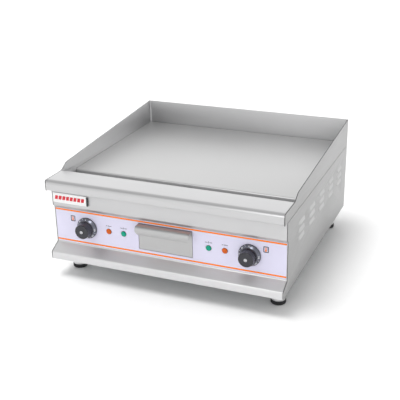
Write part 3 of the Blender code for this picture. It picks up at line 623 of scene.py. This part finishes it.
def heat_icons():
    """A framed thermometer beside each knob."""
    for side, sign in SIDES.items():
        x, z = sign * 0.2485, middle("control_overlay").z + 0.0212
        dark, orange = bmesh.new(), bmesh.new()
        ink_band(dark, x, z, 0.0124, 0.0150, 0.0012, 0.0020)
        for tick in (-0.0020, 0.0006, 0.0032):
            add_ink(dark, rounded(x + 0.0029, z + tick, 0.0016, 0.0009, 0.0003, 2))
        add_ink(orange, rounded(x - 0.0004, z + 0.0010, 0.0026, 0.0080, 0.0012))
        add_ink(orange, rounded(x - 0.0004, z - 0.0030, 0.0044, 0.0040, 0.0019), PRINT * 1.5)
        piece(f"heat_icon_frame_{side}", dark, GREY_PRINT, "control_overlay")
        piece(f"heat_icon_mark_{side}", orange, ORANGE_PRINT, "control_overlay")


def lamp_marks():
    """A small symbol between two rules over each pilot lamp: a ring and stroke, or rising waves."""
    for side in SIDES:
        for kind, rule in (("power", 0.0062), ("heat", 0.0048)):
            lamp = middle(f"{kind}_lamp_lens_{side}")
            z = lamp.z + 0.0140
            shape = bmesh.new()
            for way in (-1, 1):
                add_ink(shape, rounded(lamp.x + way * (0.0028 + rule / 2), z, rule, 0.0014, 0.0005, 2))
            if kind == "power":
                ink_band(shape, lamp.x, z, 0.0038, 0.0038, 0.0018, 0.0008)
                add_ink(shape, rounded(lamp.x, z + 0.0014, 0.0008, 0.0026, 0.0003, 2), PRINT * 1.5)
            else:
                for shift in (-0.0013, 0, 0.0013):
                    wave = [(lamp.x + shift + 0.0004 * math.sin(t * math.pi / 4), z - 0.0017 + 0.00043 * t)
                            for t in range(9)]
                    add_ink(shape, thickened(wave, 0.0007))
            piece(f"{kind}_mark_{side}", shape, PALE_GREY_PRINT, "control_overlay")


def badge():
    """A white plate with a row of plain red blocks and a dark end strip."""
    low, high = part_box("name_badge")
    centre, size = (low + high) / 2, high - low
    strip, proud = 0.0042, 0.0003
    plate = bmesh.new()
    add_prism(plate, rounded(centre.x, centre.z, size.x, size.z, 0.0010), "Y", low.y + proud, high.y)
    bevelled(plate, 0.0003, 3)
    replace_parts(piece("badge_plate", plate, BADGE_WHITE, "name_badge"), "name_badge")
    end = bmesh.new()
    add_prism(end, rounded(high.x - strip / 2, centre.z, strip, size.z - 0.0008, 0.0006), "Y",
              low.y, high.y - proud)
    bevelled(end, 0.0001, 2)
    piece("badge_end_strip", end, BADGE_DARK, "name_badge")
    blocks, tall, wide, pitch, lean = bmesh.new(), 0.0100, 0.0080, 0.0104, 0.0012
    for i in range(8):
        x, z = centre.x - strip / 2 + pitch * (i - 3.5), centre.z + 0.0008
        shape = [(x + a * (wide / 2) + b * lean, z + b * (tall / 2))
                 for a, b in ((-1, -1), (1, -1), (1, 1), (-1, 1))]
        add_prism(blocks, shape, "Y", low.y + proud / 2, low.y + 0.0010)
    piece("badge_blocks", blocks, BADGE_RED, "name_badge")


# ---------------------------------------------------------------- knobs
DIAL_RIM, DIAL_TOP = 0.0270, 0.0205          # radii where the dial's bevel starts and ends
RIM_DEPTH, BEVEL_DEPTH = 0.0026, 0.0072      # their distances in front of the dial's back
NUMBERS = ["0", "50", "100", "150", "200", "250", "300"]
KNOB_TRAVEL = 270                            # degrees from the first number to the last


def knob(side):
    node = f"knob_{side}"
    low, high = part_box(node)
    at = (middle(node).x, 0, middle(node).z)
    back, front = high.y, low.y
    ribs, rib_depth = 40, 0.018
    profile = [(0, front + 0.012), (0.0034, front + 0.012), (0.0034, back - 0.0002), (0.0240, back - 0.0002),
               (DIAL_RIM - 0.0004, back), (DIAL_RIM, back - 0.0004), (DIAL_RIM, back - RIM_DEPTH + 0.0003),
               (DIAL_RIM - 0.0002, back - RIM_DEPTH), (DIAL_TOP + 0.0002, back - BEVEL_DEPTH + 0.0002),
               (DIAL_TOP - 0.0003, back - BEVEL_DEPTH - 0.0001), (0.0196, back - 0.0074),
               (0.0191, back - 0.0079), (0.0189, back - 0.0090)]
    grip = [(0.0189 - 0.0007 * t, back - 0.0100 - 0.0155 * t) for t in (0, 0.25, 0.5, 0.75, 1)]
    edge = arc((0.0164, front + 0.0020), 0.0018, 0, 90, 8)
    face = [(0.0150, front + 0.0001), (0.0146, front + 0.0005), (0.0070, front + 0.0006),
            (0.0056, front + 0.0003), (0.0048, front + 0.0002), (0.0045, front + 0.0005),
            (0.0045, front + 0.0014), (0, front + 0.0014)]
    ribbed = range(len(profile), len(profile) + len(grip))

    def ripple(turn, index):
        return 1 - rib_depth * (0.5 + 0.5 * math.cos(ribs * turn)) ** 3 if index in ribbed else 1

    rows = profile + grip + [(r, front + 0.0022 - (y - front - 0.0020) - 0.0002) for r, y in edge] + face
    shape = bmesh.new()
    add_ring_stack(shape, rows, "Y", at, 200, ripple)
    made = piece(f"{node}_moulding", shape, BAKELITE, node, smooth=40)
    made.data.materials.append(DIAL_PAINTED_SHEEN_RING)
    for polygon in made.data.polygons:
        out = math.hypot(polygon.center.x - at[0], polygon.center.z - at[2])
        # Faces on the dial's bevel take the lighter metallic finish: painted sheen.
        on_bevel = DIAL_TOP < out < DIAL_RIM and RIM_DEPTH < back - polygon.center.y < BEVEL_DEPTH
        polygon.material_index = int(on_bevel)
    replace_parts(made, node)


def dial_numbers(side):
    """Generic numbers and ticks, wrapped on the bevel of the dial."""
    node = f"knob_{side}"
    centre, back = middle(node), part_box(node)[1].y
    slope = Vector((DIAL_TOP - DIAL_RIM, BEVEL_DEPTH - RIM_DEPTH))
    length, way = slope.length, slope.normalized()
    out = Vector((way.y, -way.x))                # away from the bevel, as (radius, depth)
    step = math.radians(KNOB_TRAVEL / (len(NUMBERS) - 1))

    def on_bevel(turn, along, proud):
        flat = Vector((DIAL_RIM, RIM_DEPTH)) + way * along + out * proud
        return Vector((centre.x + flat.x * math.cos(turn), back - flat.y, centre.z + flat.x * math.sin(turn)))

    shape = bmesh.new()
    for i, number in enumerate(NUMBERS):
        turn = math.pi / 2 + step * i
        data = bpy.data.curves.new("number", "FONT")
        data.body, data.size, data.extrude = number, 0.0052, 0.00006
        data.align_x, data.align_y, data.space_character = "CENTER", "CENTER", 0.92
        data.resolution_u = 4
        text = bpy.data.objects.new("number", data)
        bpy.context.scene.collection.objects.link(text)
        bpy.context.view_layer.update()
        mesh = bpy.data.meshes.new_from_object(text.evaluated_get(bpy.context.evaluated_depsgraph_get()))
        for vertex in mesh.vertices:
            x, y, z = vertex.co
            vertex.co = on_bevel(turn - x / 0.0235, length / 2 + y, 0.00004 + z)
        shape.from_mesh(mesh)
        bpy.data.objects.remove(text)
        bpy.data.curves.remove(data)
        bpy.data.meshes.remove(mesh)
        if i == len(NUMBERS) - 1:
            continue
        tick, half = turn + step / 2, 0.0004 / DIAL_RIM
        corners = [(-half, 0.0012), (half, 0.0012), (half, 0.0038), (-half, 0.0038)]
        low = [shape.verts.new(on_bevel(tick + a, s, -0.00002)) for a, s in corners]
        high = [shape.verts.new(on_bevel(tick + a, s, 0.0001)) for a, s in corners]
        shape.faces.new(low)
        shape.faces.new(high[::-1])
        for a in range(4):
            b = (a + 1) % 4
            shape.faces.new((low[a], low[b], high[b], high[a]))
    piece(f"dial_numbers_{side}", shape, WHITE_PRINT, node)


def knob_cap(side):
    node = f"knob_cap_{side}"
    low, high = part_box(node)
    at = (middle(node).x, 0, middle(node).z)
    rows = [(0, high.y), (0.0042, high.y), (0.0042, low.y + 0.0005), (0.0039, low.y + 0.0001), (0.0030, low.y),
            (0.0025, low.y + 0.0003), (0.0023, low.y + 0.0008), (0.0008, low.y + 0.0009), (0, low.y + 0.0009)]
    shape = bmesh.new()
    add_ring_stack(shape, rows, "Y", at, 48)
    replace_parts(piece(f"{node}_turned", shape, CHROME, node), node)


# ---------------------------------------------------------------- pilot lamps
def lamp(node, material):
    low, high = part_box(node)
    at = (middle(node).x, 0, middle(node).z)
    rim, flange = (high.x - low.x) / 2, low.y + 0.0036
    dome = [(rim * math.cos(a), flange - 0.0008 - 0.0028 * math.sin(a))
            for a in [math.pi / 2 * i / 10 for i in range(11)]]
    dome[-1] = (0, dome[-1][1])
    rows = dome[::-1] + [(rim, flange), (0.0046, flange), (0.0046, high.y), (0, high.y)]
    shape = bmesh.new()
    add_ring_stack(shape, rows, "Y", at, 40)
    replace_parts(piece(f"{node}_moulding", shape, material, node), node)
    # Painted shade: a black ring around the lens stands in for the shadow at the lens's edge.
    painted_shade_ring = bmesh.new()
    rows = [(rim - 0.0004, flange - 0.0004), (rim + 0.0004, flange - 0.0004), (rim + 0.0007, flange - 0.0001),
            (rim + 0.0007, FILM_FACE + 0.00005), (rim - 0.0004, FILM_FACE + 0.00005)]
    add_ring_stack(painted_shade_ring, rows, "Y", at, 48)
    piece(f"{node}_bezel", painted_shade_ring, NYLON, node)


# ---------------------------------------------------------------- grease drawer
def drawer_front():
    """Flat front whose top edge bends forward and sweeps down into the pull, its lower corners rounded."""
    low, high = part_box("drawer_front")
    sheet, top_bend, bend, sweep, curl, corner = 0.0012, 0.0024, 0.008, 0.027, 29, 0.010
    back = [(high.y, low.z)] + fillet((high.y, low.z), (high.y, high.z), (low.y, high.z), top_bend)
    shoulder = arc((low.y + bend, high.z - bend), bend, 90, 180, 14)
    centre_y, start_z = low.y + sweep, high.z - bend
    half = (high.x - low.x) / 2
    xs = [-half + corner * (1 - math.cos(math.pi / 2 * i / 12)) for i in range(13)]
    xs += [-half + corner + 2 * (half - corner) * i / 24 for i in range(1, 24)]
    xs += [-x for x in xs[12::-1]]

    def sweep_end(x):
        """Angle on the sweep where the sheet ends, so that the lip's corners are round."""
        beyond = max(0.0, abs(x) - (half - corner)) / corner
        raised = corner * (1 - math.sqrt(max(0.0, 1 - beyond * beyond)))
        return math.degrees(math.asin(math.sin(math.radians(curl)) - raised / sweep))

    shape = bmesh.new()
    sections = []
    for x in xs:
        lip = arc((centre_y, start_z), sweep, 180, 180 + sweep_end(x), 14)[1:]
        outline = thickened(back + shoulder + lip, -sheet)
        sections.append([shape.verts.new((x, y, z)) for y, z in outline])
    shape.faces.new(sections[0])
    shape.faces.new(sections[-1][::-1])
    for a, b in zip(sections, sections[1:]):
        for i in range(len(a)):
            j = (i + 1) % len(a)
            shape.faces.new((a[i], a[j], b[j], b[i]))
    bevelled(shape, 0.0002, 2, 50)
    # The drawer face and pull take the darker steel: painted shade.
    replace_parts(piece("drawer_face", shape, PULL_PAINTED_DARKER_STEEL, "drawer_front", smooth=50), "drawer_front")


# ---------------------------------------------------------------- feet and fasteners
def foot(name):
    pad, stud = f"foot_pad_{name}", f"foot_stud_{name}"
    at = (middle(pad).x, middle(pad).y, 0)
    pad_low, pad_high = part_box(pad)
    rows = [(0, pad_low.z), (0.0158, pad_low.z), (0.0172, pad_low.z + 0.0004), (0.0179, pad_low.z + 0.0014)]
    for z in (0.0030, 0.0050, 0.0070):
        rows += [(0.0183, z - 0.0006), (0.0183, z + 0.0002), (0.0179, z + 0.0005), (0.0179, z + 0.0009)]
    rows += [(0.0181, 0.0083), (0.0176, pad_high.z), (0.0060, pad_high.z), (0.0060, 0.0030), (0, 0.0030)]
    shape = bmesh.new()
    add_ring_stack(shape, rows, "Z", at)
    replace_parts(piece(f"{pad}_moulding", shape, RUBBER, pad), pad)
    top, tip = 0.0509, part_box(stud)[1].z
    sleeve = [(0, 0.0035), (0.0050, 0.0035), (0.0050, top - 0.0012), (0.0154, top - 0.0012), (0.0154, 0.0095),
              (0.0166, 0.0095), (0.0168, 0.0098), (0.0168, 0.0125), (0.0164, 0.0131), (0.0164, top - 0.0016)]
    sleeve += arc((0.0148, top - 0.0016), 0.0016, 0, 90, 6)
    pitch, thread = 0.0015, []
    turns = int((tip - top - 0.001) / pitch)
    for i in range(turns):
        z = top + 0.0006 + pitch * i
        thread += [(0.0044, z), (0.0050, z + pitch / 2)]
    shape = bmesh.new()
    add_ring_stack(shape, sleeve + [(0.0050, top)] + thread + [(0.0040, tip), (0, tip)], "Z", at)
    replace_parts(piece(f"{stud}_turned", shape, TURNED_STEEL, stud), stud)


def back_screw(node):
    """Pan head with a cross recess."""
    low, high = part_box(node)
    at = middle(node)
    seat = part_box("back_panel")[1].y + 0.0003
    head = [(0.0040, seat), (0.0040, seat + 0.0006)]
    head += [(0.0040 - 0.0016 * t * t, seat + 0.0006 + (high.y - seat - 0.0006) * t)
             for t in (0.3, 0.6, 0.85, 1)]
    rows = [(0, low.y), (0.0018, low.y + 0.001), (0.0018, seat)] + head + [(0, high.y)]
    shape, cross = bmesh.new(), bmesh.new()
    add_ring_stack(shape, rows, "Y", (at.x, 0, at.z), 32)
    arm, wide = 0.0020, 0.0005
    plus = [(wide, arm), (-wide, arm), (-wide, wide), (-arm, wide), (-arm, -wide), (-wide, -wide),
            (-wide, -arm), (wide, -arm), (wide, -wide), (arm, -wide), (arm, wide), (wide, wide)]
    add_prism(cross, [(at.x + a, at.z + b) for a, b in plus], "Y", high.y - 0.0012, high.y + 0.001)
    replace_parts(piece(f"{node}_turned", cut_away(shape, cross), CHROME, node), node)


def cable_gland():
    """Hexagonal flange, ribbed dome nut and clamp throat."""
    node = "cable_gland"
    low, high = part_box(node)
    at = (middle(node).x, 0, middle(node).z)
    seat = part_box("back_panel")[1].y + 0.0003
    bore, thread, flat = 0.0070, 0.0100, 0.0135
    corner = flat * 0.995

    def hexagon(turn, index):
        across = math.cos(math.pi / 6) / math.cos((turn % (math.pi / 3)) - math.pi / 6)
        ribs = 1 - 0.05 * (0.5 + 0.5 * math.cos(18 * turn))
        return across if index in hex_rows else ribs if index in rib_rows else 1

    rows = [(bore, low.y), (thread, low.y), (thread, seat)]
    hex_rows = range(len(rows), len(rows) + 4)
    rows += [(corner - 0.0004, seat), (corner, seat + 0.0004), (corner, seat + 0.0056),
             (corner - 0.0004, seat + 0.0060)]
    rows += [(0.0112, seat + 0.0060), (0.0112, seat + 0.0072)]
    rib_rows = range(len(rows), len(rows) + 2)
    rows += [(0.0124, seat + 0.0076), (0.0122, high.y - 0.0055)]
    rows += [(0.0110, high.y - 0.0035), (0.0092, high.y - 0.0008), (0.0086, high.y), (bore + 0.0006, high.y),
             (bore, high.y - 0.0006)]
    shape = bmesh.new()
    add_ring_stack(shape, rows, "Y", at, 108, hexagon)
    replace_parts(piece("cable_gland_moulding", shape, NYLON, node), node)


def bonding_stud():
    """Threaded brass stud with a hexagonal nut and a washer against the panel."""
    node = "bonding_stud"
    low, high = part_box(node)
    at = (middle(node).x, 0, middle(node).z)
    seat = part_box("back_panel")[1].y + 0.0003

    def hexagon(turn, index):
        return math.cos(math.pi / 6) / math.cos((turn % (math.pi / 3)) - math.pi / 6) if index in nut else 1

    rows = [(0, low.y), (0.0028, low.y), (0.0030, low.y + 0.0004), (0.0030, seat), (0.0055, seat),
            (0.0055, seat + 0.0009)]
    nut = range(len(rows), len(rows) + 2)
    rows += [(0.0055, seat + 0.0009), (0.0055, seat + 0.0050)]
    pitch = 0.0010
    turns = int((high.y - 0.001 - seat - 0.0050) / pitch)
    for i in range(turns):
        rows += [(0.0026, seat + 0.0052 + pitch * i), (0.0030, seat + 0.0052 + pitch * (i + 0.5))]
    rows += [(0.0025, high.y), (0, high.y)]
    shape = bmesh.new()
    add_ring_stack(shape, rows, "Y", at, 72, hexagon)
    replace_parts(piece("bonding_stud_turned", shape, BRASS, node), node)


# ---------------------------------------------------------------- camera, light and floor
def camera():
    azimuth, elevation, roll = math.radians(23.19), math.radians(22.56), math.radians(-1.17)
    away = Vector((math.sin(azimuth) * math.cos(elevation), -math.cos(azimuth) * math.cos(elevation),
                   math.sin(elevation)))
    data = bpy.data.cameras.new("camera")
    data.lens = 71.46
    made = bpy.data.objects.new("camera", data)
    made.location = Vector((-0.0236, 0, 0.1290)) + away * 2.1020
    made.rotation_mode = "QUATERNION"
    made.rotation_quaternion = (-away).to_track_quat("-Z", "Y") @ Quaternion((0, 0, 1), roll)
    bpy.context.scene.collection.objects.link(made)
    bpy.context.scene.camera = made


def aimed(name, kind, place, target, watts):
    """A lamp that looks at a target."""
    data = bpy.data.lights.new(name, kind)
    data.energy = watts
    made = bpy.data.objects.new(name, data)
    made.location = place
    made.rotation_mode = "QUATERNION"
    made.rotation_quaternion = (Vector(target) - Vector(place)).to_track_quat("-Z", "Y")
    bpy.context.scene.collection.objects.link(made)
    return made


def surroundings():
    """A pale studio: white floor, a bright backdrop behind, a dimmer ceiling and two lamps.

    The overhead lamp is kept out of reflections, so it doesn't light the metal. The softbox lights
    reflections only."""
    backdrop_way = (0.0, 0.95, 0.31)
    floor_half = 20
    world = bpy.data.worlds.new("studio")
    world.use_nodes = True
    tree = world.node_tree
    away = add(tree, "ShaderNodeTexCoord").outputs["Generated"]
    split = add(tree, "ShaderNodeSeparateXYZ", inputs={"Vector": away}).outputs
    facing = add(tree, "ShaderNodeVectorMath", {"operation": "DOT_PRODUCT"}, {0: away, 1: backdrop_way})
    height = ramp(tree, split["Z"], (0.0, 1.0), (0.45, 1.0), (0.72, 0.66), (1.0, 0.66))
    behind = ramp(tree, spread(tree, facing.outputs["Value"], 0, 1, -1, 1), (0.0, 1.0), (0.25, 1.0),
                  (0.47, 0.80), (0.70, 1.08), (0.93, 1.28))
    across = ramp(tree, spread(tree, split["X"], 0, 1, -1, 1), (0.0, 1.15), (0.5, 1.0), (1.0, 0.86))
    tone = height
    for other in (behind, across):
        tone = add(tree, "ShaderNodeMix", {"data_type": "RGBA", "blend_type": "MULTIPLY"},
                   {"Factor": 1.0, 6: tone, 7: other}).outputs[2]
    tree.links.new(tone, tree.nodes["Background"].inputs["Color"])
    tree.nodes["Background"].inputs["Strength"].default_value = 1.0
    bpy.context.scene.world = world
    bpy.context.scene.view_settings.view_transform = "Standard"
    overhead = aimed("overhead", "SUN", (-0.65, -0.5, 2.5), (0, 0, 0), 1.8)
    overhead.data.angle = math.radians(30)
    overhead.visible_glossy = False
    softbox = aimed("softbox", "AREA", (0.25, -2.1, 1.75), (0, 0, 0.15), 12)
    softbox.data.shape, softbox.data.size, softbox.data.size_y = "RECTANGLE", 0.9, 0.5
    softbox.visible_diffuse = False
    shape = bmesh.new()
    bmesh.ops.create_grid(shape, x_segments=4, y_segments=4, size=floor_half)
    mesh = bpy.data.meshes.new("floor")
    shape.to_mesh(mesh)
    shape.free()
    mesh.materials.append(grained("floor", (0.90, 0.90, 0.90), 0.7, 60.0, 0.0001, 0.01))
    floor = bpy.data.objects.new("floor", mesh)
    bpy.context.scene.collection.objects.link(floor)


camera()
surroundings()
coat_cad_nodes()
for sheet_node in ("back_panel", "grease_trough", "drawer_box", "base_pan",
                   "drawer_guide_left", "drawer_guide_right"):
    softened(sheet_node)
softened("griddle_plate", 0.0005)
splash_guards()
back_splash()
front_panel()
front_nose()
corner_welds()
side_panels()
film_lines()
heat_icons()
lamp_marks()
badge()
for side_name in SIDES:
    knob(side_name)
    dial_numbers(side_name)
    knob_cap(side_name)
    lamp(f"power_lamp_lens_{side_name}", GREEN_LENS)
    lamp(f"heat_lamp_lens_{side_name}", ORANGE_LENS)
    foot(f"front_{side_name}")
    foot(f"rear_{side_name}")
drawer_front()
for number in range(1, 5):
    back_screw(f"back_screw_{number}")
cable_gland()
bonding_stud()
